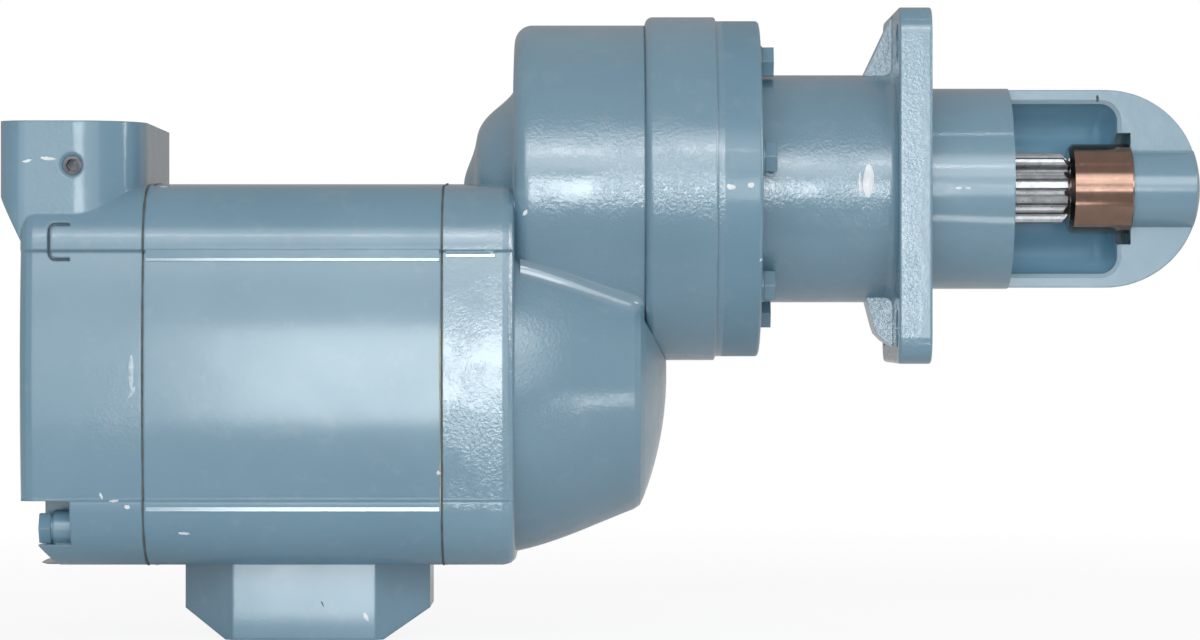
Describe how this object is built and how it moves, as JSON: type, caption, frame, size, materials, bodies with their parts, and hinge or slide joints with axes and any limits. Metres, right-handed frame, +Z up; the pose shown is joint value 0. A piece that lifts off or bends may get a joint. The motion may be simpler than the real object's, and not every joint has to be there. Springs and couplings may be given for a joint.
{
  "type": "air starter",
  "caption": "Pneumatic engine starter: vane motor, offset gear case, one-way clutch and a sliding pinion in a flange-mounted, half-open nose.",
  "frame": {"origin": "centre of the mounting flange's front face, on the drive shaft's axis", "axes": "+X along the drive shaft to the nose, +Z up, the nose window looks towards -Y"},
  "size_m": [0.542, 0.174, 0.284],
  "materials": {
    "grey_blue_paint": "glossy grey-blue enamel over cast iron",
    "dark_steel": "dark steel",
    "steel": "ground steel",
    "gasket_paper": "gasket sheet",
    "rubber": "black rubber",
    "bronze": "bearing bronze",
    "copper_bronze": "bright copper-coloured bronze, turned",
    "vane_composite": "laminated vane material",
    "aluminium": "machined aluminium",
    "cast_iron": "machined cast iron"
  },
  "bodies": {
    "housing": {"rear_cover": "grey_blue_paint", "inlet_plug": "dark_steel", "motor_housing": "grey_blue_paint", "gear_housing": "grey_blue_paint", "drive_housing": "grey_blue_paint", "rear_gasket": "gasket_paper", "middle_gasket": "gasket_paper", "front_gasket": "gasket_paper", "tie_bolts": "grey_blue_paint", "tie_bolt_washers": "grey_blue_paint", "drive_housing_screws": "dark_steel", "bearing_carrier": "aluminium", "carrier_screws": "grey_blue_paint", "carrier_washers": "grey_blue_paint", "carrier_seal": "rubber", "cylinder_liner": "cast_iron", "rear_end_plate": "cast_iron", "front_end_plate": "cast_iron", "liner_dowels": "steel", "rear_motor_bearing": "steel", "front_motor_bearing": "steel", "motor_shaft_seal": "rubber", "rear_gear_bearing": "steel", "front_gear_bearing": "steel", "output_bearing": "steel", "output_seal": "rubber", "guide_bush": "bronze", "nose_bush": "bronze", "return_spring": "steel"},
    "rotor_group": {"rotor": "steel", "vanes": "vane_composite", "rotor_ring": "steel", "motor_pinion": "steel", "pinion_key": "steel", "pinion_washer": "steel", "pinion_nut": "steel"},
    "gear_group": {"drive_gear": "steel", "gear_pilot_bush": "bronze", "clutch_rollers": "steel", "clutch_cage": "bronze"},
    "shaft_group": {"drive_shaft": "steel", "clutch_hub": "steel", "hub_ring": "steel", "stop_collar": "copper_bronze", "collar_ring": "steel"},
    "pinion_group": {"drive_pinion": "steel", "sleeve_rings": "steel"},
    "piston_group": {"piston": "aluminium", "piston_seals": "rubber", "shift_bearing": "steel"}
  },
  "joints": [
    {"name": "gear_spin", "type": "hinge", "parent": "housing", "child": "gear_group", "pos_m": [-0.153, 0, 0], "axis": [1, 0, 0], "continuous": true},
    {"name": "rotor_spin", "type": "hinge", "parent": "housing", "child": "rotor_group", "pos_m": [-0.153, 0, -0.085], "axis": [1, 0, 0], "continuous": true},
    {"name": "shaft_spin", "type": "hinge", "parent": "housing", "child": "shaft_group", "pos_m": [0, 0, 0], "axis": [1, 0, 0], "continuous": true},
    {"name": "piston_slide", "type": "slide", "parent": "housing", "child": "piston_group", "axis": [1, 0, 0], "range_m": [-0.026, 0], "deforming": ["return_spring"]},
    {"name": "pinion_slide", "type": "slide", "parent": "shaft_group", "child": "pinion_group", "axis": [1, 0, 0], "range_m": [-0.026, 0]}
  ],
  "couplings": [
    {"joint": "rotor_spin", "follows": "gear_spin", "ratio": -2.4},
    {"joint": "pinion_slide", "follows": "piston_slide", "ratio": 1}
  ]
}
